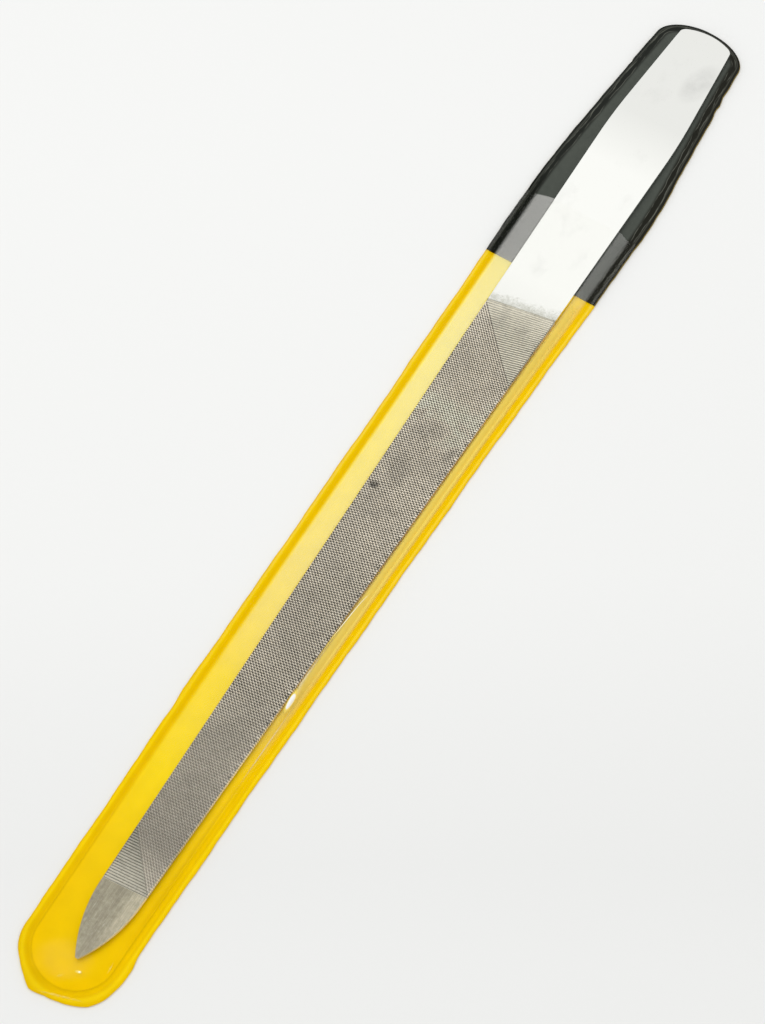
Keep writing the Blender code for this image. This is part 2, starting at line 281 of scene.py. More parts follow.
def lines_across():
    """All lines across a face, as tooth_lines gives them, with the share -1 off the cut."""
    teeth = tooth_lines()
    point_slope = teeth[0][1]
    lines = []
    for i in range(POINT_LINES + 1):
        share = i / POINT_LINES
        lines.append((share**1.3 * (CUT_START - POINT_FLAT), share * point_slope, -1.0))
    lines.append((CUT_START - POINT_FLAT / 2, point_slope, -1.0))
    lines += teeth
    top, slope, _ = teeth[-1]
    top += TOOTH_FACE + TOOTH_LAND
    for i in range(HANDLE_LINES):
        share = (i + 1) / HANDLE_LINES
        tilted = slope * max(0, 1 - share * 5)
        lines.append((lerp(top, FILE_LENGTH - END_LENGTH, share), tilted, -1.0))
    return lines


def line_end(side, middle, slope):
    """Where a tilted line meets the outline: its distance from the nose."""
    along = middle
    for _ in range(4):
        along = middle + slope * side * blade_half_width(along)
    return along


def is_crossed(spot):
    """Whether the second set of teeth runs through a spot."""
    cross = math.tan(math.radians(interpolate(spot.y, CROSS_TILTS)))
    return CROSS_START < spot.y - spot.x * cross < CROSS_END


def even_keys(chain):
    """A chain of (key, point) with its keys spread evenly from 0 to 1."""
    return [(i / (len(chain) - 1), point) for i, (_, point) in enumerate(chain)]


def face_lines(maker, turn):
    """One face of the file, from lines across it. turn is 1 for the top, -1 for the underside.

    The underside is the top turned half round the file's length. Returns the face's outline,
    ring by ring, as chains of (place round the outline, point).
    """
    chance = random.Random(5 + turn)

    def put(spot, z, cut, wall=0.0):
        x, y, z = FILE_OFFSET + turn * spot.x, TIP_Y + spot.y, FILE_MIDDLE_Z + turn * z
        return maker.point(x, y, z, cut, wall, 0.0 if is_crossed(spot) else 1.0)

    def edge(spot, out, level, cut):
        """The points from the face's edge to the outline, for one place round the outline."""
        depth = max(0, cut)
        shade = max(depth, EDGE_SHADE) if cut >= 0 else 0
        ring = []
        for inset, drop in EDGE_RINGS:
            z = level - max(drop, depth * TOOTH_DEPTH if inset else drop)
            ring.append((spot - out * inset, z, shade, float(inset == 0)))
        return ring

    rows = []
    for middle, slope, cut in lines_across():
        level = half_thickness(middle)
        sides = []
        for side in (-1, 1):
            along = max(0, line_end(side, middle, slope))
            spot, out = outline_side(side, along)
            sides.append((along, edge(spot, out, level, cut)))
        (left_along, left), (right_along, right) = sides
        start, stop = left[0][0], right[0][0]
        inner = []
        cross = math.tan(math.radians(interpolate(middle, CROSS_TILTS)))
        if cut >= 0:
            first = (start.y - start.x * cross) / CROSS_PITCH
            last = (stop.y - stop.x * cross) / CROSS_PITCH
            for half_step in range(math.ceil(first * 2 + 0.2), math.floor(last * 2 - 0.2) + 1):
                key = half_step / 2
                share = (key - first) / (last - first)
                spot = start.lerp(stop, share)
                cross_depth = CROSS_DEPTH if half_step % 2 and is_crossed(spot) else 0
                depth = max(cut * TOOTH_DEPTH, cross_depth) + chance.uniform(-1, 1) * TOOTH_JITTER
                z = level - max(0, depth)
                inner.append((key, put(spot, z, max(0, depth) / TOOTH_DEPTH)))
            keys = (first, last)
        else:
            for i in range(1, HANDLE_COLUMNS):
                spot = start.lerp(stop, i / HANDLE_COLUMNS)
                inner.append((spot.x, put(spot, level, 0)))
            keys = (start.x, stop.x)
        rings = [[put(*place) for place in ring] for ring in (left, right)]
        row = [(keys[0], rings[0][0])] + inner + [(keys[1], rings[1][0])]
        rows.append((row, (left_along, rings[0]), (right_along, rings[1]), cut))
    # The handle's end closes the face
    end = []
    for index, (spot, out) in enumerate(outline_end()):
        end.append((index, [put(*place) for place in edge(spot, out, FILE_THICKNESS / 2, -1)]))
    end_row = [(END_POINTS - index, ring[0]) for index, ring in reversed(end)]
    for (low, _, _, cut_low), (high, _, _, cut_high) in zip(rows, rows[1:]):
        if cut_low < 0 or cut_high < 0:
            low, high = even_keys(low), even_keys(high)
        maker.strip(low, high, smooth=False)
    maker.strip(even_keys(rows[-1][0]), even_keys(end_row), smooth=False)
    # Round the outline: up the right side, round the end, down the left side
    around = [(along, ring) for _, _, (along, ring), _ in rows]
    around += [(FILE_LENGTH + index, ring) for index, ring in end]
    far = 2 * FILE_LENGTH + END_POINTS
    around += [(far - along, ring) for _, (along, ring), _, _ in reversed(rows)]
    for (_, one), (_, two) in zip(around, around[1:] + around[:1]):
        for k in range(len(EDGE_RINGS) - 1):
            maker.face((one[k], one[k + 1], two[k + 1], two[k]))
    return [(key, ring[-1]) for key, ring in around]


def add_file(material):
    """The steel file: two faces with their teeth, and the wall between them."""
    maker = Maker("cut", "wall", "single")
    top = face_lines(maker, 1)
    under = face_lines(maker, -1)
    far = 2 * FILE_LENGTH + END_POINTS
    under = [(far - key, point) for key, point in reversed(under)]
    maker.strip(under, top)
    maker.face((under[-1][1], under[0][1], top[0][1], top[-1][1]))
    obj = maker.make("steel_nail_file", material)
    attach(obj, "file")
    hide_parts("nail_file")


# The sheath's outline


# How far the sheath's middle line strays to the right: (y, distance)
DRIFT = [
    (-104, -0.1), (-60, -0.32), (-20, -0.25), (20, 0.0), (50, 0.25), (70, 0.42), (92, 0.38),
    (100, 0.55),
]
WELD_HALF_WIDTHS = [(WELD_END_Y, 7.5), (MIDDLE_Y, 8.85), (SHOULDER_Y, 10.1), (TOP_CORNER_Y, 7.35)]
# What the shears left along the long sides
RIGHT_WOBBLE = ripples(11, [(23, 0.05), (9, 0.03), (4.1, 0.025), (2.3, 0.012)])
LEFT_WOBBLE = ripples(12, [(27, 0.05), (11, 0.03), (4.7, 0.02), (2.1, 0.012)])
LEFT_KINK = [(-60, 0), (-56.5, -0.06), (-54.4, 0.06), (-52.8, 0.27), (-49, 0.2), (-38, 0)]
TOP_WAVES = ripples(13, [(4.6, 0.09), (3.1, 0.06)])
OPEN_END_STRAY = 0.3


def weld_half_width(y):
    """Half the distance between the two long welds."""
    return rounded_taper(y, WELD_HALF_WIDTHS, 2, SHOULDER_ROUNDING)


def trim_share(angle):
    """The trimmed width round the closed end, angle 0 at the right side and pi at the left."""
    steps = len(END_TRIM_SHARES) - 1
    places = [(math.pi * i / steps, share) for i, share in enumerate(END_TRIM_SHARES)]
    return interpolate(angle, places)


def shear_marks(side, y):
    """How far the trimmed edge strays outwards from its line, along a long side."""
    if side > 0:
        return RIGHT_WOBBLE(y) + TOP_WAVES(y) * hump(y, 93, 9)
    return LEFT_WOBBLE(y) + interpolate(y, LEFT_KINK) - 0.14 * hump(y, 91.5, 0.8)


# Places across the welded rim, from its edge: (distance from the edge, height over the sheet)
RIM = [
    (0.0, -0.11), (0.05, -0.04), (0.13, 0.0), (0.28, 0.018), (0.42, 0.025), (0.58, 0.018),
    (0.74, 0.0), (0.86, -0.03), (0.98, -0.06), (1.15, -0.07), (1.35, -0.07), (1.5, -0.065),
    (1.62, -0.04), (1.74, 0.0), (1.86, 0.012), (1.98, 0.006), (2.1, 0.0),
]
RIM_END = RIM[-1][0]
# Nearer the edge than this, the rim stretches to the trimmed edge
TRIMMED_REACH = 0.7


def inward_from(q, edge_share, stray):
    """Turns a distance from the edge into one from the weld's middle line."""
    if q >= TRIMMED_REACH:
        return q - FLANGE_WIDTH
    edge = -FLANGE_WIDTH * edge_share - stray
    return lerp(edge, TRIMMED_REACH - FLANGE_WIDTH, q / TRIMMED_REACH)


def side_station(y, tuck):
    """A row of the sheath at y. tuck is how far its edge is drawn in, left and right."""

    def at(side, q):
        end_share = trim_share(0 if side > 0 else math.pi)
        fade = [(WELD_END_Y + TRIM_REACH / 2, end_share), (WELD_END_Y + TRIM_REACH, 1)]
        from_ends = min(TOP_CORNER_Y - y, y - WELD_END_Y)
        calm = min(1, from_ends / TRIM_REACH)
        stray = shear_marks(side, y) * calm - tuck[0 if side < 0 else 1]
        inward = inward_from(q, interpolate(y, fade), stray)
        return side * (weld_half_width(y) - inward) + interpolate(y, DRIFT), y

    return at


def closed_station(angle, tuck):
    """A row through the rounded closed end."""

    def at(side, q):
        turn = angle if side > 0 else math.pi - angle
        inward = inward_from(q, trim_share(turn), -tuck[0 if side < 0 else 1])
        across = weld_half_width(WELD_END_Y) - inward
        down = WELD_END_ROUNDING - inward
        x = across * math.cos(turn) + interpolate(WELD_END_Y, DRIFT)
        return x, WELD_END_Y - down * math.sin(turn)

    return at


def open_station(angle, tuck):
    """A row through the rounded corners of the open end."""

    def at(side, q):
        turn = angle if side > 0 else math.pi - angle
        inward = inward_from(q, 1, -tuck[0 if side < 0 else 1])
        across = weld_half_width(TOP_CORNER_Y) - inward
        up = TOP_ROUNDING + OPEN_END_STRAY - FLANGE_WIDTH - inward
        x = across * math.cos(turn) + interpolate(TOP_CORNER_Y, DRIFT)
        return x, TOP_CORNER_Y + up * math.sin(turn)

    return at


ROUND_STEPS = 56
QUARTER = [math.pi * i / ROUND_STEPS for i in range(1, ROUND_STEPS // 2)]
SIDE_STEP = 0.9
LAP_STEP = 0.2


def side_places(start, stop, step):
    """Places along a side from start to stop, about a step apart."""
    count = max(1, round((stop - start) / step))
    return [lerp(start, stop, i / count) for i in range(count + 1)]


# The sheath's sheets


MIDDLE_COLUMNS = 14
# Between a sheet and the one it is welded to
SHEET_GAP = 0.01
# Between the panels inside their rims
PANEL_GAP = 0.04
EDGE_BEVEL = 0.06
PANEL_WAVES = ripples(21, [(37, 0.03), (17, 0.02), (8.5, 0.01)])


def bevel(q):
    """How far a sheet's top falls at its edge."""
    return max(0, EDGE_BEVEL - q)


def rim_lift(q):
    """How far the weld and its bead raise or press the sheets, q from the edge."""
    return interpolate(q, RIM)


def back_top(q):
    """The top of the yellow sheet across its rim."""
    return BACK_THICKNESS + 0.8 * rim_lift(q)


def mouth_bottom(q):
    """The underside of the black sheet across its rim."""
    return back_top(q) + SHEET_GAP


def mouth_top(q):
    """The top of the black sheet across its rim."""
    return mouth_bottom(q) + MOUTH_PANEL_THICKNESS + 0.2 * rim_lift(q)


def film_bottom(q, y):
    """The film's rim lies on the back panel, and steps up where it laps the mouth panel."""
    share = interpolate(y, [(LAP_BOTTOM_Y, 0), (LAP_TOP_Y, 1)])
    share = share * share * (3 - 2 * share)
    return lerp(back_top(q), mouth_top(q), share) + SHEET_GAP


def film_roof(y):
    """The film's underside over the file: it falls to its rim past the file's nose."""
    rim_end_y = WELD_END_Y - WELD_END_ROUNDING + RIM_END - FLANGE_WIDTH
    base = film_bottom(RIM_END, y)
    places = [(rim_end_y, base), (TIP_Y, NOSE_ROOF_Z), (TIP_Y + POINT_LENGTH, ROOF_Z)]
    return interpolate(y, places)


SLOPE_COLUMNS = 14
ROOF_COLUMNS = 8
SLOPE_CROWN = 0.10
ROOF_ROUNDING_SHARE = 0.25
CREASE_HEIGHT = 0.16
# The fold's line beside the file: (y, x)
CREASE = [
    (-60, 7.2), (-52, 6.8), (-47.8, 6.4), (-44, 6.35), (-42, 6.05), (-38, 5.95), (-32.3, 6.15),
    (-25.6, 6.65), (-20.5, 7.3), (-16, 8.5),
]


def crease_lift(x, y):
    """The soft fold in the film beside the file's right edge."""
    return CREASE_HEIGHT * hump(y, -40, 26) * hump(x, interpolate(y, CREASE), 0.5)


def film_middle(left, right):
    """The film between its rims: up, over the file and down again."""
    (x0, y), (x1, _) = left, right
    base = film_bottom(RIM_END, y)
    roof = film_roof(y)
    half = blade_half_width(max(0, y - TIP_Y)) + SIDE_CLEARANCE
    middle = FILE_OFFSET
    if y < TIP_Y:
        fit = min(1, END_ROOF_SHARE * x1 / (middle + half))
        half *= fit
        middle *= fit
    start, stop = middle - half, middle + half
    places = [lerp(x0, start, i / SLOPE_COLUMNS) for i in range(1, SLOPE_COLUMNS)]
    places += [lerp(start, stop, i / ROOF_COLUMNS) for i in range(ROOF_COLUMNS + 1)]
    places += [lerp(stop, x1, i / SLOPE_COLUMNS) for i in range(1, SLOPE_COLUMNS)]
    found = []
    rise = roof - base
    for x in places:
        up = rise * (x - x0) / (start - x0)
        down = rise * (x1 - x) / (x1 - stop)
        slope = min(up, down)
        t = max(0, min(1, slope / rise)) if rise > 0 else 0
        slope += SLOPE_CROWN * rise / ROOF_Z * math.sin(math.pi * t)
        z = base + smooth_min(slope, rise, ROOF_ROUNDING_SHARE * rise + 1e-6)
        if t < 1:
            z += crease_lift(x, y) * min(1, 3 * (1 - t))
        q = RIM_END + min(x - x0, x1 - x)
        over = max(0, min(x - start, stop - x)) / SIDE_CLEARANCE
        found.append((x, y, z, z + FILM_THICKNESS, q, t + over))
    return found


def flat_middle(bottom, top, wave):
    """Rows of a panel that lies flat between its rims, but for a soft wave in its top."""

    def across(left, right):
        (x0, y), (x1, _) = left, right
        found = []
        for i in range(1, MIDDLE_COLUMNS):
            share = i / MIDDLE_COLUMNS
            x = lerp(x0, x1, share)
            lift = wave * PANEL_WAVES(y + 3 * x) * math.sin(math.pi * share)
            q = RIM_END + min(x - x0, x1 - x)
            found.append((x, y, bottom, top + lift, q, 0.0))
        return found

    return across


def rim_places(at, side, heights):
    """One side of a row, from the edge inwards: (x, y, bottom, top, q, roof)."""
    found = []
    for q, _ in RIM:
        x, y = at(side, q)
        found.append((x, y, *heights(q, y), q, 0.0))
    return found


def add_sheet(name, stations, heights, middle, material, start=None, end=None):
    """A closed sheet from its stations, from -Y to +Y. start and end are the stations at the
    middle of a rounded end, which the rows beside it lead to.
    """
    maker = Maker("rim", "roof")

    def pair(place):
        x, y, bottom, top, q, roof = place
        return maker.point(x, y, top, q, roof), maker.point(x, y, bottom, q, roof)

    grid = []
    for at in stations:
        left = rim_places(at, -1, heights)
        right = rim_places(at, 1, heights)
        row = left + middle(left[-1][:2], right[-1][:2]) + right[::-1]
        grid.append([pair(place) for place in row])
    cells = []
    for one, two in zip(grid, grid[1:]):
        for j in range(len(one) - 1):
            cells.append((one[j], one[j + 1], two[j + 1], two[j]))
    for at, row, flip in ((start, grid[0], True), (end, grid[-1], False)):
        if at is None:
            continue
        spine = [pair(place) for place in rim_places(at, 1, heights)]
        found = []
        for half, other in ((row, 1), (row[::-1], -1)):
            for k in range(len(spine) - 1):
                cell = (half[k], half[k + 1], spine[k + 1], spine[k])
                found.append(cell[::other])
        for j in range(len(spine) - 1, len(row) - len(spine)):
            found.append((row[j], row[j + 1], spine[-1]))
        cells += [cell[::-1] for cell in found] if flip else found
    sides = set()
    for cell in cells:
        maker.face(tuple(top for top, _ in cell))
        maker.face(tuple(bottom for _, bottom in cell)[::-1])
        sides.update(zip(cell, cell[1:] + cell[:1]))
    for one, two in sorted(sides):
        if (two, one) not in sides:
            maker.face((one[1], two[1], two[0], one[0]))
    obj = maker.make(name, material)
    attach(obj, "sheath")
    return obj


def add_back(material):
    """The yellow sheet. Its underside rises at the edge and a little under the weld."""
    tuck = (0, 0)
    stations = [closed_station(angle, tuck) for angle in reversed(QUARTER)]
    stations += [side_station(y, tuck) for y in side_places(WELD_END_Y, TOP_CORNER_Y, SIDE_STEP)]
    stations += [open_station(angle, tuck) for angle in QUARTER]

    def heights(q, y):
        return max(0, 0.10 - 1.5 * q) + 0.04 * hump(q, 1.25, 0.5), back_top(q)

    obj = add_sheet(
        "vinyl_back", stations, heights, flat_middle(0, BACK_THICKNESS, 0.6), material,
        closed_station(math.pi / 2, tuck), open_station(math.pi / 2, tuck),
    )
    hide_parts("back_panel")


def add_mouth(material):
    """The black sheet over the yellow one's upper end."""
    tuck = (0.05, 0.10)
    places = side_places(MOUTH_PANEL_Y, TOP_CORNER_Y, SIDE_STEP)
    stations = [side_station(y, tuck) for y in places]
    stations += [open_station(angle, tuck) for angle in QUARTER]

    def heights(q, y):
        return mouth_bottom(q), mouth_top(q) - bevel(q)

    middle = flat_middle(BACK_THICKNESS + PANEL_GAP, BACK_THICKNESS + MOUTH_PANEL_THICKNESS, 1)
    obj = add_sheet(
        "vinyl_mouth", stations, heights, middle, material,
        None, open_station(math.pi / 2, tuck),
    )
    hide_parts("mouth_panel")


def add_film(material):
    """The clear sheet, tucked in further where it lies on the black one."""

    def tuck(y):
        share = interpolate(y, [(MOUTH_PANEL_Y - 2, 0), (MOUTH_PANEL_Y, 1)])
        return 0.03 + 0.04 * share, 0.03 + 0.09 * share

    places = side_places(WELD_END_Y, LAP_BOTTOM_Y, SIDE_STEP)
    places += side_places(LAP_BOTTOM_Y, MOUTH_PANEL_Y, LAP_STEP)[1:]
    places += side_places(MOUTH_PANEL_Y, MOUTH_Y, SIDE_STEP)[1:]
    stations = [closed_station(angle, tuck(WELD_END_Y)) for angle in reversed(QUARTER)]
    stations += [side_station(y, tuck(y)) for y in places]

    def heights(q, y):
        bottom = film_bottom(q, y)
        return bottom, bottom + FILM_THICKNESS + 0.1 * rim_lift(q) - bevel(q)

    obj = add_sheet(
        "vinyl_film", stations, heights, film_middle, material,
        closed_station(math.pi / 2, tuck(WELD_END_Y)), None,
    )
    film_nodes = ("front_film_left", "front_film_roof", "front_film_right", "front_film_toe")
    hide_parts(*film_nodes)


# Materials


class Paint:
    """A material's node tree, built from short calls on numbers and sockets."""

    def __init__(self, name):
        self.material = bpy.data.materials.new(name)
        self.material.use_nodes = True
        self.nodes = self.material.node_tree.nodes
        self.links = self.material.node_tree.links
        self.nodes.clear()
        self.output = self.nodes.new("ShaderNodeOutputMaterial")
        coordinates = self.nodes.new("ShaderNodeTexCoord").outputs["Object"]
        self.place = self.scaled(coordinates, 1 / MM)
        split = self.node("ShaderNodeSeparateXYZ", Vector=self.place)
        self.x, self.y, self.z = split.outputs

    def put(self, socket, value):
        if isinstance(value, bpy.types.NodeSocket):
            self.links.new(value, socket)
        elif isinstance(value, tuple) and len(value) == 3 and socket.type == "RGBA":
            socket.default_value = (*value, 1)
        else:
            socket.default_value = value

    def node(self, kind, settings=None, **inputs):
        node = self.nodes.new(kind)
        for key, value in (settings or {}).items():
            setattr(node, key, value)
        for key, value in inputs.items():
            self.put(node.inputs[key.replace("_", " ")], value)
        return node

    def scaled(self, vector, factor):
        """A vector times a number, or times three numbers."""
        node = self.node("ShaderNodeVectorMath", {"operation": "MULTIPLY"})
        self.put(node.inputs[0], vector)
        self.put(node.inputs[1], factor if isinstance(factor, tuple) else (factor,) * 3)
        return node.outputs[0]

    def math(self, operation, *values, clamp=False):
        node = self.node("ShaderNodeMath", {"operation": operation, "use_clamp": clamp})
        for socket, value in zip(node.inputs, values):
            self.put(socket, value)
        return node.outputs[0]

    def add(self, a, b, clamp=False):
        return self.math("ADD", a, b, clamp=clamp)

    def sub(self, a, b):
        return self.math("SUBTRACT", a, b)

    def mul(self, a, b):
        return self.math("MULTIPLY", a, b)

    def ramp(self, value, low, high, at_low=0.0, at_high=1.0):
        """A smooth step of value from low to high."""
        settings = {"interpolation_type": "SMOOTHSTEP"}
        node = self.node("ShaderNodeMapRange", settings)
        for socket, number in zip(node.inputs, (value, low, high, at_low, at_high)):
            self.put(socket, number)
        return node.outputs[0]

    def curve(self, value, places):
        """A value on straight lines through (place, value) pairs."""
        result = places[0][1]
        for (x0, v0), (x1, v1) in zip(places, places[1:]):
            node = self.node("ShaderNodeMapRange")
            for socket, number in zip(node.inputs, (value, x0, x1, 0.0, v1 - v0)):
                self.put(socket, number)
            result = self.add(result, node.outputs[0])
        return result

    def band(self, value, middle, reach, height=1.0):
        """A smooth bump: height at the middle, 0 beyond reach."""
        off = self.math("ABSOLUTE", self.sub(value, middle))
        return self.ramp(off, 0.0, reach, height, 0.0)

    def spot(self, x, y, turn, long, wide, height=1.0):
        """A smooth oval bump at x, y, its long half turned from the +X direction."""
        dx = self.sub(self.x, x)
        dy = self.sub(self.y, y)
        run = (math.cos(turn), math.sin(turn))
        u = self.add(self.mul(dx, run[0]), self.mul(dy, run[1]))
        v = self.sub(self.mul(dy, run[0]), self.mul(dx, run[1]))
        u = self.math("POWER", self.math("DIVIDE", u, long), 2.0)
        v = self.math("POWER", self.math("DIVIDE", v, wide), 2.0)
        return self.ramp(self.add(u, v), 0.0, 1.0, height, 0.0)

    def noise(self, scale, detail=3.0, stretch=(1, 1, 1), roughness=0.5):
        """Noise with scale turns for each millimetre, from 0 to 1."""
        node = self.node(
            "ShaderNodeTexNoise", Vector=self.scaled(self.place, stretch),
            Scale=scale, Detail=detail, Roughness=roughness,
        )
        return node.outputs["Fac"]

    def mark(self, name):
        return self.node("ShaderNodeAttribute", {"attribute_name": name}).outputs["Fac"]

    def mix(self, factor, a, b):
        """From colour a to colour b."""
        node = self.node("ShaderNodeMix", {"data_type": "RGBA"})
        self.put(node.inputs[0], factor)
        self.put(node.inputs[6], a)
        self.put(node.inputs[7], b)
        return node.outputs[2]

    def times(self, colour, factor):
        node = self.node("ShaderNodeVectorMath", {"operation": "SCALE"})
        self.put(node.inputs[0], colour)
        self.put(node.inputs["Scale"], factor)
        return node.outputs[0]

    def blend(self, factor, a, b):
        """From shader a to shader b."""
        node = self.node("ShaderNodeMixShader", Fac=factor)
        self.put(node.inputs[1], a)
        self.put(node.inputs[2], b)
        return node.outputs[0]

    def bump(self, height, distance, strength=1.0):
        """Bumps as high as distance, in millimetres, where height is 1."""
        return self.node(
            "ShaderNodeBump", Height=height, Distance=distance * MM, Strength=strength
        ).outputs[0]

    def finish(self, shader):
        self.links.new(shader, self.output.inputs["Surface"])
        return self.material


# The painted lines at both ends of the cut: their place along the file, and their tilt
CUT_END_LINE = CUT_TOP - 0.2
CUT_END_TILT = 0.185
POINT_LINE = CUT_START - 0.1
POINT_TILT = 0.105
LINE_SOFTNESS = 0.05
# How far the frosted fringe reaches above the cut
FRINGE_REACH = 2.0
# Dark stains on the cut: (x, y, turn in degrees, half length, half width, height)
STAINS = [
    (-2.8, -6.4, 20, 1.1, 0.9, 1.1), (5.1, 4.8, 70, 2.2, 1.1, 0.35),
    (-0.1, 7.0, 30, 4.5, 2.5, 0.3), (-0.5, -2.0, 100, 4.0, 2.2, 0.3),
    (-1.2, 30.5, 15, 3.0, 1.8, 0.25), (3.4, 31.5, 40, 2.0, 0.8, 0.2),
]
# How bright the cut is along the file: (distance from the nose, level)
FILE_LEVEL = [
    (14, 0.97), (21, 0.73), (29, 0.80), (45, 0.84), (55, 0.89), (69, 0.83), (79, 0.94),
    (101, 0.98), (109, 1.08), (119, 0.97),
]


def steel_paint():
    """Ground steel with a cut of teeth, a plated handle and a scratched point."""
    p = Paint("ground_steel")
    along = p.sub(p.y, TIP_Y)
    across = p.sub(p.x, FILE_OFFSET)
    # The cut's upper end is tilted, with a ragged frosted fringe above it
    tilted = p.sub(along, p.mul(across, CUT_END_TILT))
    above = p.ramp(tilted, CUT_END_LINE - LINE_SOFTNESS, CUT_END_LINE + LINE_SOFTNESS)
    ragged = p.mul(p.sub(p.noise(0.9, 5, roughness=0.65), 0.5), 4.0)
    frosted = p.ramp(p.add(tilted, ragged), CUT_TOP, CUT_TOP + FRINGE_REACH, 1.0, 0.0)
    frosted = p.mul(frosted, p.ramp(p.noise(2.2, 4, roughness=0.7), 0.3, 0.62, 0.35, 1))
    tilt_point = p.sub(along, p.mul(across, POINT_TILT))
    point = p.ramp(tilt_point, POINT_LINE + LINE_SOFTNESS, POINT_LINE - LINE_SOFTNESS)
    # Painted shade: the grooves of the teeth, and dashes among the single-cut rows, are painted
    # dark from the cut mark while the crests stay light; a curve along the file sets how strong
    # that painted shade is
    fine = p.sub(p.noise(7, 3), 0.5)
    dark = p.ramp(p.add(p.mark("cut"), p.mul(fine, 0.5)), 0.5, 1.0)
    painted_light_strength = p.curve(along, [(22, 0.45), (38, 0.58), (54, 1.2), (64, 1.42), (90, 1.32)])
    dark = p.add(p.mul(p.sub(dark, 0.45), painted_light_strength), 0.45)
    teeth = p.mix(dark, (0.98, 0.915, 0.80), (0.125, 0.117, 0.092))
    lone = p.ramp(p.add(p.mark("cut"), p.mul(fine, 0.6)), 0.2, 0.8)
    dashes = p.ramp(p.noise(1.1, 4, (3.2, 0.8, 1), 0.7), 0.56, 0.70, 0.0, 0.35)
    lone = p.mul(lone, p.curve(along, [(20, 0.66), (120, 0.9)]))
    lone = p.add(lone, dashes, clamp=True)
    rows = p.mix(lone, (0.80, 0.765, 0.66), (0.18, 0.175, 0.14))
    rows = p.times(rows, p.curve(along, [(20, 0.84), (120, 1.12)]))
    teeth = p.mix(p.mark("single"), teeth, rows)
    cloudy = p.noise(0.13, 5, roughness=0.6)
    stained = p.ramp(p.noise(0.3, 3, roughness=0.6), 0.58, 0.75, 1.0, 0.86)
    level = p.curve(along, FILE_LEVEL)
    for x, y, turn, long, wide, height in STAINS:
        stain = p.spot(x, y, math.radians(turn), long, wide, height)
        stained = p.sub(stained, p.mul(stain, p.noise(1.3, 3)))
    teeth = p.times(teeth, p.mul(p.ramp(cloudy, 0.3, 0.7, 0.93, 1.07), stained))
    teeth = p.times(teeth, level)
    brushed = p.noise(0.9, 6, (6.0, 0.35, 1), 0.62)
    bare = p.mix(p.ramp(brushed, 0.25, 0.75), (0.41, 0.38, 0.29), (0.57, 0.53, 0.41))
    # Painted light: the point is painted lighter towards its right side
    bare = p.times(bare, p.ramp(across, 0.0, 3.2, 0.9, 1.22))
    bare = p.times(bare, p.ramp(p.noise(0.9, 5, roughness=0.7), 0.3, 0.7, 0.88, 1.1))
    scratches = p.ramp(p.noise(2.0, 2, (3.2, 0.25, 1), 0.5), 0.68, 0.74)
    bare = p.mix(p.mul(scratches, 0.5), bare, (0.78, 0.75, 0.66))
    bare = p.mix(p.band(tilt_point, POINT_LINE + 0.02, 0.14, 0.6), bare, (0.86, 0.83, 0.72))
    # Painted reflection: the handle's plating is painted a little dimmer next to the cut and more
    # so towards its end; the smudges and the thumb mark are real dirt
    handle_reflection = p.curve(along, [(132, 0.93), (138, 0.975), (166, 0.97), (178, 0.83)])
    smudge = p.ramp(p.noise(0.16, 4, (1, 0.7, 1), 0.6), 0.55, 0.8, 1.0, 0.93)
    thumb = p.mul(p.spot(4.6, 92.6, 1.35, 6.0, 3.0, 0.22), p.noise(0.5, 3))
    smudge = p.sub(smudge, thumb)
    plating = p.times((0.995, 1.0, 0.958), p.mul(handle_reflection, smudge))
    handle = p.mix(p.mul(frosted, 0.8), plating, (0.53, 0.53, 0.455))
    colour = p.mix(point, p.mix(above, teeth, handle), bare)
    colour = p.mix(p.band(tilted, CUT_END_LINE - 0.02, 0.14, 0.7), colour, (0.26, 0.24, 0.18))
    # Painted light: the file's side wall is painted up to half as bright again
    colour = p.times(colour, p.ramp(p.mark("wall"), 0.2, 0.9, 1.0, 1.5))
    rough = p.sub(0.52, p.mul(above, 0.38))
    rough = p.add(rough, p.mul(frosted, 0.2))
    haze = p.mul(p.sub(p.noise(0.5, 4), 0.5), 0.06)
    grain = p.bump(p.noise(1.2, 5, (6, 0.8, 1)), 0.02, 0.35)
    shader = p.node(
        "ShaderNodeBsdfPrincipled", Base_Color=colour, Metallic=1.0,
        Roughness=p.add(rough, haze, clamp=True), Normal=grain,
    )
    return p.finish(shader.outputs[0])


# How far the pocket's yellow is painted lighter along the sheath, as painted shade that darkens
# it towards the closed end: (y, share)
YELLOW_LIGHT_GRADIENT = [(-100, 0.0), (-84, 0.1), (-64, 0.45), (-50, 0.5), (-20, 0.7), (20, 1.0)]


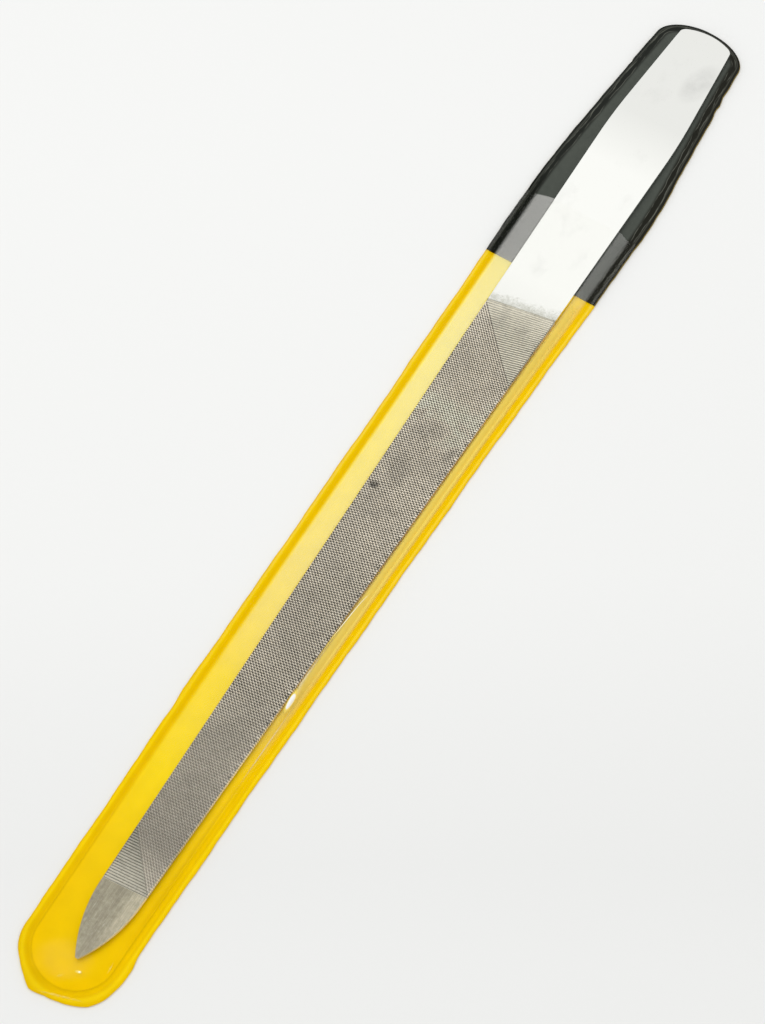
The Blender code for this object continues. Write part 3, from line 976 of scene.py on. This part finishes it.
def yellow_paint():
    """Yellow vinyl: a soft grain, paler in the pocket and darker along the weld."""
    p = Paint("yellow_vinyl")
    q = p.mark("rim")
    pocket = p.ramp(q, 1.55, 2.2)
    # Painted light and shade in the pocket: darker towards the closed end, and a more orange
    # painted shade on its right side beside the file
    length = p.curve(p.y, YELLOW_LIGHT_GRADIENT)
    high = p.mix(p.ramp(p.x, 3.0, 5.0), (1.0, 0.85, 0.035), (1.0, 0.70, 0.02))
    inside = p.mix(length, (0.86, 0.545, 0.0), high)
    # A painted highlight: the rim's bead is painted lighter than the flange beside it
    flange = p.mix(p.band(q, 0.5, 0.42), (0.83, 0.527, 0.0), (0.91, 0.635, 0.004))
    inner = p.mix(p.ramp(p.x, -3.0, 3.0), (0.80, 0.485, 0.0), (0.88, 0.56, 0.0))
    flange = p.mix(p.band(q, 1.25, 0.32), flange, inner)
    thin = p.mul(p.band(q, 1.78, 0.17), p.ramp(p.y, -66, -86, 0.0, 0.9))
    # Painted shade: the flange is painted darker on the left and towards the closed end
    flange = p.times(flange, p.ramp(p.x, -3.0, 3.0, 0.955, 0.99))
    flange = p.times(flange, p.ramp(p.y, -103, -90, 0.94, 1.0))
    colour = p.mix(thin, p.mix(pocket, flange, inside), (0.66, 0.39, 0.0))
    colour = p.times(colour, p.ramp(p.noise(0.35, 4), 0.3, 0.7, 0.97, 1.02))
    # Its cut edge beside the black panel is painted dark, as painted shade under that panel
    beside = p.ramp(p.y, MOUTH_PANEL_Y - 0.2, MOUTH_PANEL_Y + 0.2, 0.0, 0.92)
    under_panel_shade = p.mul(p.ramp(q, 0.3, 0.05), beside)
    colour = p.mix(under_panel_shade, colour, (0.16, 0.12, 0.03))
    grain = p.bump(p.noise(5, 3), 0.03, 0.3)
    shader = p.node(
        "ShaderNodeBsdfPrincipled", Base_Color=colour, Roughness=0.42, Normal=grain,
        Specular_Tint=(1.0, 0.70, 0.02, 1.0), Specular_IOR_Level=0.35,
    )
    return p.finish(shader.outputs[0])


def black_paint():
    """Black vinyl: deep along the weld, with thin lines of painted highlight along its creases
    and its rim's bead, and a pocket painted lighter grey, part dust and part painted sheen.
    """
    p = Paint("black_vinyl")
    q = p.mark("rim")
    pocket = p.ramp(q, 1.55, 2.3)
    # The pocket is painted lighter grey: part dust, part painted sheen
    dust_and_sheen = p.mix(p.noise(0.6, 5, roughness=0.65), (0.048, 0.055, 0.046), (0.078, 0.086, 0.073))
    # Painted highlights: thin lines along the flange's creases and along the rim's bead, broken
    # up by noise and mostly left out on the left side of the lower end
    sway = p.mul(p.sub(p.noise(0.22, 3), 0.5), 1.1)
    painted_light_strength = p.ramp(p.noise(0.35, 3), 0.35, 0.65)
    lines = p.band(p.add(q, sway), 0.85, 0.14, 1.0)
    lines = p.add(lines, p.band(p.sub(q, sway), 1.62, 0.12, 0.9))
    no_highlights = p.mul(p.ramp(p.y, 66.0, 56.0, 0.0, 0.8), p.ramp(p.x, 5.0, 3.0))
    highlight_lines = p.mul(p.mul(lines, painted_light_strength), p.sub(1.0, no_highlights))
    left = p.mix(p.ramp(p.y, 56.0, 66.0), (0.001, 0.002, 0.0), (0.011, 0.013, 0.010))
    deep = p.mix(p.ramp(p.x, 3.0, 5.0), left, (0.010, 0.010, 0.006))
    highlight_lines = p.add(highlight_lines, p.band(q, 0.62, 0.22, 0.35))
    flange = p.mix(highlight_lines, deep, (0.115, 0.118, 0.098))
    colour = p.mix(pocket, flange, dust_and_sheen)
    grain = p.bump(p.noise(6, 3), 0.03, 0.4)
    shader = p.node(
        "ShaderNodeBsdfPrincipled", Base_Color=colour, Roughness=0.4, Normal=grain,
        Specular_IOR_Level=0.1,
    )
    return p.finish(shader.outputs[0])


# How strongly the film shows a painted reflection beside the file, left and right, drawn as milky
# white: (y, share)
LEFT_PAINTED_REFLECTION = [
    (-66, 0.0), (-56, 0.03), (-48, 0.045), (-44, 0.085), (-36, 0.15), (-24, 0.21), (-4, 0.22),
    (4, 0.25), (12, 0.29), (28, 0.34), (40, 0.33), (44, 0.305), (57, 0.31),
]
RIGHT_PAINTED_REFLECTION = [
    (-60, 0.0), (-48, 0.08), (-36, 0.17), (-20, 0.16), (-6, 0.11), (12, 0.08), (30, 0.11),
    (40, 0.16), (44, 0.12), (57, 0.115),
]
# How strongly the film shines to the right of the file: (y, share)
RIGHT_SHEEN = [
    (-56, 0.0), (-44, 0.35), (-36, 0.6), (-24, 0.66), (-12, 0.72), (6, 0.75), (20, 0.62),
    (38, 0.45), (42, 0.0),
]
# Small highlights at the closed end: (x, y, turn in degrees, half length, half width, height)
GLINTS = [
    (2.1, -102.75, 18, 4.0, 0.22, 0.5), (2.5, -98.4, 20, 0.65, 0.28, 1.1),
    (0.4, -100.2, 45, 0.7, 0.2, 0.45), (6.1, -95.3, 95, 1.1, 0.15, 0.5),
]


def film_fold_highlights(p):
    """Painted highlights, drawn as milky white: along the film's fold beside the file's right
    edge, along its rim there, and a faint one at the closed end.
    """
    from_crease = p.sub(p.x, p.curve(p.y, CREASE))
    soft = p.mul(p.band(from_crease, 0.05, 0.4), p.band(p.y, -41, 8, 0.3))
    rim_line = p.mul(p.band(p.mark("rim"), 2.15, 0.10), p.band(p.y, -53, 9, 0.4))
    right = p.mul(rim_line, p.ramp(p.x, 3, 4))
    total = p.add(soft, right)
    total = p.mul(total, p.ramp(p.mark("roof"), 0.97, 1.0, 1.0, 0.0))
    toe = p.mul(p.spot(-0.6, -98.0, 0.3, 5.5, 3.6, 0.032), p.noise(0.5, 3))
    return p.add(total, toe)


def film_flash(p):
    """Where the film shines: a patch and a line at the fold, glints at the closed end and a
    soft sheen along the pocket's right side.
    """
    broken = p.ramp(p.noise(1.6, 4, roughness=0.65), 0.4, 0.62, 0.12, 1.0)
    total = p.mul(p.spot(6.26, -45.3, 1.60, 3.1, 0.5, 1.2), p.ramp(p.y, -41.8, -45.5))
    from_crease = p.sub(p.x, p.curve(p.y, CREASE))
    line = p.mul(p.band(from_crease, 0, 0.09), p.band(p.y, -28, 13, 1.2))
    total = p.add(total, line)
    for x, y, turn, long, wide, height in GLINTS:
        glint = p.spot(x, y, math.radians(turn), long, wide, height)
        total = p.add(total, p.mul(glint, broken))
    sheen = p.mul(p.curve(p.y, RIGHT_SHEEN), p.ramp(p.x, 3.0, 5.0))
    sheen = p.mul(sheen, p.ramp(p.mark("rim"), 1.25, 2.0))
    sheen = p.mul(sheen, p.ramp(p.mark("roof"), 0.55, 1.0, 1.0, 0.0))
    return p.math("MINIMUM", p.math("MAXIMUM", total, sheen), 0.97)


def film_paint():
    """Clear vinyl film, clear along the weld, with a painted reflection and painted highlights
    drawn as a milky white layer where it stands off the panel.
    """
    p = Paint("clear_vinyl")
    q = p.mark("rim")
    roof = p.mark("roof")
    # haze below is the share of painted reflection and painted highlights, drawn as a milky white
    # layer
    side = p.ramp(p.x, -3.0, 5.0)
    left = p.mul(p.curve(p.y, LEFT_PAINTED_REFLECTION), p.sub(1.0, side))
    right = p.mul(p.curve(p.y, RIGHT_PAINTED_REFLECTION), side)
    left = p.mul(left, p.ramp(q, 1.6, 2.5))
    left = p.mul(left, p.ramp(roof, 1.7, 2.3, 1.0, 0.03))
    right = p.mul(right, p.ramp(q, 1.25, 2.1))
    right = p.mul(right, p.ramp(roof, 0.8, 1.2, 1.0, 0.03))
    haze = p.add(left, right)
    # A painted highlight along the rim's bead, drawn as milky white
    bead = p.mul(p.band(q, 0.38, 0.34), p.curve(p.y, [(-60, 0.0), (-20, 0.05)]))
    haze = p.add(haze, bead)
    # Light crosses both faces of the film, and each holds back its share
    haze = p.add(p.mul(haze, 0.55), film_fold_highlights(p), clamp=True)
    flash = film_flash(p)
    clear = p.node("ShaderNodeBsdfTransparent", Color=(0.998, 0.998, 0.996, 1)).outputs[0]
    gloss = p.node("ShaderNodeBsdfGlossy", Color=(1, 1, 1, 1), Roughness=0.1).outputs[0]
    # The painted reflection is warmer on the right and at the closed end, as painted yellow light
    # from the vinyl below
    warm = p.mul(side, p.ramp(p.y, 42.0, 40.0))
    warm = p.math("MAXIMUM", warm, p.ramp(p.y, -70.0, -85.0))
    painted_light_colour = p.mix(warm, (0.97, 0.96, 0.92), (1.0, 0.93, 0.66))
    painted_light_layer = p.node("ShaderNodeBsdfDiffuse", Color=painted_light_colour).outputs[0]
    edge = p.node("ShaderNodeFresnel", IOR=1.06).outputs[0]
    film_with_painted_light = p.blend(haze, p.blend(edge, clear, gloss), painted_light_layer)
    tint = p.mix(p.ramp(flash, 0.78, 0.95), (1.0, 0.81, 0.16), (0.98, 0.98, 0.97))
    kinds = ("ShaderNodeBsdfGlossy", "ShaderNodeBsdfDiffuse")
    shiny, matt = (p.node(kind, Color=tint, Roughness=0.35).outputs[0] for kind in kinds)
    bright = p.blend(p.ramp(flash, 0.78, 0.95, 0.55, 0.0), shiny, matt)
    return p.finish(p.blend(flash, film_with_painted_light, bright))


# The photograph's upward and rightward directions on the table
VIEW_UP = Vector((-0.529, 0.849, 0)).normalized()
VIEW_RIGHT = Vector((VIEW_UP.y, -VIEW_UP.x, 0))
# From the photograph's lower edge to its upper edge: (place, level)
FLOOR_LEVEL = [(-110, 0.805), (-85, 0.80), (-68, 0.785), (-50, 0.797), (-20, 0.824), (60, 0.838)]
FLOOR_REACH = 8000
FLOOR_Z = -0.02


def floor_paint():
    """A pale table top with painted shade, a little darker towards the camera."""
    p = Paint("table")
    upward = p.add(p.mul(p.x, VIEW_UP.x), p.mul(p.y, VIEW_UP.y))
    level = p.curve(upward, FLOOR_LEVEL)
    shader = p.node(
        "ShaderNodeBsdfPrincipled", Base_Color=p.times((0.995, 1.0, 0.985), level), Roughness=0.8,
        Specular_IOR_Level=0.2,
    )
    return p.finish(shader.outputs[0])


# The studio


VIEW_TARGET = Vector((0.00081, -0.00949, 0.0006))
VIEW_TILT = math.radians(25)
VIEW_DISTANCE = 0.3627
SENSOR_WIDTH = 24
LENS = 51.5625
LAMP_ELEVATION = math.radians(80)
LAMP_DISTANCE = 0.6
LAMP_SIZE = 0.5
LAMP_POWER = 1.34
# The dome's strength on what it lights
DOME_LEVEL = 0.80


def add_camera():
    """The photograph's view: down at the sheath, tilted from straight above."""
    up = Vector((0, 0, 1))
    back = up * math.cos(VIEW_TILT) - VIEW_UP * math.sin(VIEW_TILT)
    image_up = VIEW_UP * math.cos(VIEW_TILT) + up * math.sin(VIEW_TILT)
    axes = Matrix((VIEW_RIGHT, image_up, back)).transposed()
    camera = bpy.data.cameras.new("camera")
    camera.sensor_fit = "AUTO"
    camera.sensor_width = SENSOR_WIDTH
    camera.lens = LENS
    camera.clip_start = 0.01
    obj = bpy.data.objects.new("camera", camera)
    obj.matrix_world = Matrix.Translation(VIEW_TARGET + back * VIEW_DISTANCE) @ axes.to_4x4()
    bpy.context.scene.collection.objects.link(obj)
    bpy.context.scene.camera = obj


def add_lamp():
    """A soft square lamp above the sheath's upper left. Metal and gloss mirror the dome alone."""
    flat = (VIEW_UP - VIEW_RIGHT).normalized() * math.cos(LAMP_ELEVATION)
    direction = Vector((flat.x, flat.y, math.sin(LAMP_ELEVATION)))
    lamp = bpy.data.lights.new("key_lamp", "AREA")
    lamp.size = LAMP_SIZE
    lamp.energy = LAMP_POWER
    obj = bpy.data.objects.new("key_lamp", lamp)
    obj.location = direction * LAMP_DISTANCE
    obj.rotation_euler = direction.to_track_quat("Z", "Y").to_euler()
    obj.visible_glossy = False
    bpy.context.scene.collection.objects.link(obj)


def add_world():
    """A plain dome: soft on what it lights, white where it is seen or mirrored."""
    world = bpy.data.worlds.new("studio")
    world.use_nodes = True
    bpy.context.scene.world = world
    tree = world.node_tree
    background = tree.nodes["Background"]
    rays = tree.nodes.new("ShaderNodeLightPath").outputs
    seen = rays["Is Camera Ray"]
    for name in ("Is Glossy Ray", "Is Transmission Ray"):
        both = tree.nodes.new("ShaderNodeMath")
        both.operation = "MAXIMUM"
        tree.links.new(seen, both.inputs[0])
        tree.links.new(rays[name], both.inputs[1])
        seen = both.outputs[0]
    level = tree.nodes.new("ShaderNodeMapRange")
    tree.links.new(seen, level.inputs["Value"])
    level.inputs["To Min"].default_value = DOME_LEVEL
    level.inputs["To Max"].default_value = 1.0
    background.inputs["Color"].default_value = (1, 1, 1, 1)
    tree.links.new(level.outputs[0], background.inputs["Strength"])


def add_floor():
    """A table top that reaches past what any view shows."""
    maker = Maker()
    corners = [(-1, -1), (1, -1), (1, 1), (-1, 1)]
    maker.face(tuple(maker.point(x * FLOOR_REACH, y * FLOOR_REACH, FLOOR_Z) for x, y in corners))
    maker.make("table_top", floor_paint())


def main():
    add_file(steel_paint())
    add_back(yellow_paint())
    add_mouth(black_paint())
    add_film(film_paint())
    add_floor()
    add_camera()
    add_lamp()
    add_world()
    bpy.context.scene.view_settings.view_transform = "Standard"


main()
